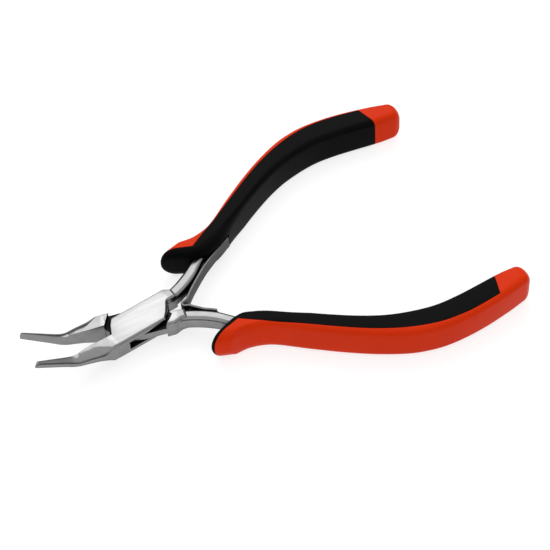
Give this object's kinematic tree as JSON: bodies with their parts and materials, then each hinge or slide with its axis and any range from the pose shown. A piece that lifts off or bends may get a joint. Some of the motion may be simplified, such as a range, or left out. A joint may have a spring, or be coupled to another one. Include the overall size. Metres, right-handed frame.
{
  "type": "bent needle nose pliers",
  "caption": "Small bent-nose pliers with a box joint, slim tapered jaws, a leaf return spring and curved two-colour moulded grips.",
  "frame": {"origin": "centre of the tool's outline at its lowest face, where it lies on a bench", "axes": "+X along the tool from the jaws to the grips' ends, +Y across the grips, +Z along the pivot pin, towards the side the jaws bend to"},
  "size_m": [0.13, 0.0856, 0.0134],
  "materials": {
    "polished_steel": "polished",
    "ground_pin_steel": "ground flush",
    "spring_steel": "satin",
    "orange_plastic": "gloss",
    "black_rubber": "satin"
  },
  "bodies": {
    "box_half_body": {"box_half": "polished_steel", "pivot_pin": "ground_pin_steel", "upper_grip_core": "orange_plastic", "upper_grip_overmould": "black_rubber"},
    "tenon_half_body": {"tenon_half": "polished_steel", "lower_grip_core": "orange_plastic", "lower_grip_overmould": "black_rubber", "leaf_spring": "spring_steel", "leaf_spring_rivet": "ground_pin_steel"}
  },
  "joints": [
    {"name": "jaw_pivot", "type": "hinge", "parent": "box_half_body", "child": "tenon_half_body", "pos_m": [-0.03361, 0, 0.0051], "axis": [0, 0, 1], "range_deg": [-2, 19], "stiffness_Nm_per_rad": 1, "deforming": ["leaf_spring"]}
  ]
}
